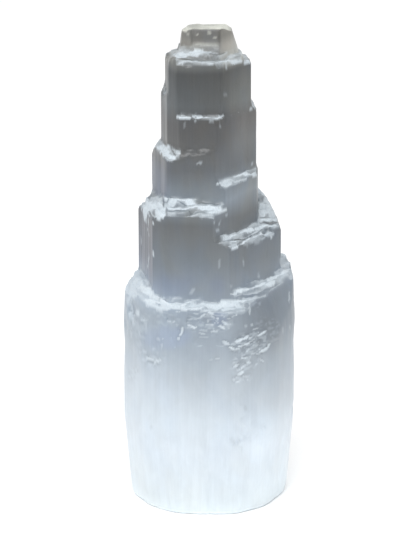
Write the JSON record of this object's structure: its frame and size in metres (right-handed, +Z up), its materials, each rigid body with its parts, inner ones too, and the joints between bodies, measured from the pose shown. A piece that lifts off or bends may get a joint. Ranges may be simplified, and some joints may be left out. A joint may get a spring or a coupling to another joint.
{
  "type": "selenite point",
  "caption": "Hand-cut upright satin spar tower: a thick swelling base stepped inwards by broken ledges to a blunt tip, standing on a flat foot.",
  "frame": {"origin": "centre of the bounding box at the flat foot", "axes": "+Z up along the fibres to the tip, -Y towards the side seen in the picture, +X to its right"},
  "size_m": [0.0532, 0.0466, 0.151],
  "materials": {
    "satin_spar": "silky, translucent, fine upright fibres"
  },
  "bodies": {
    "root": {"selenite_point": "satin_spar"}
  },
  "joints": []
}
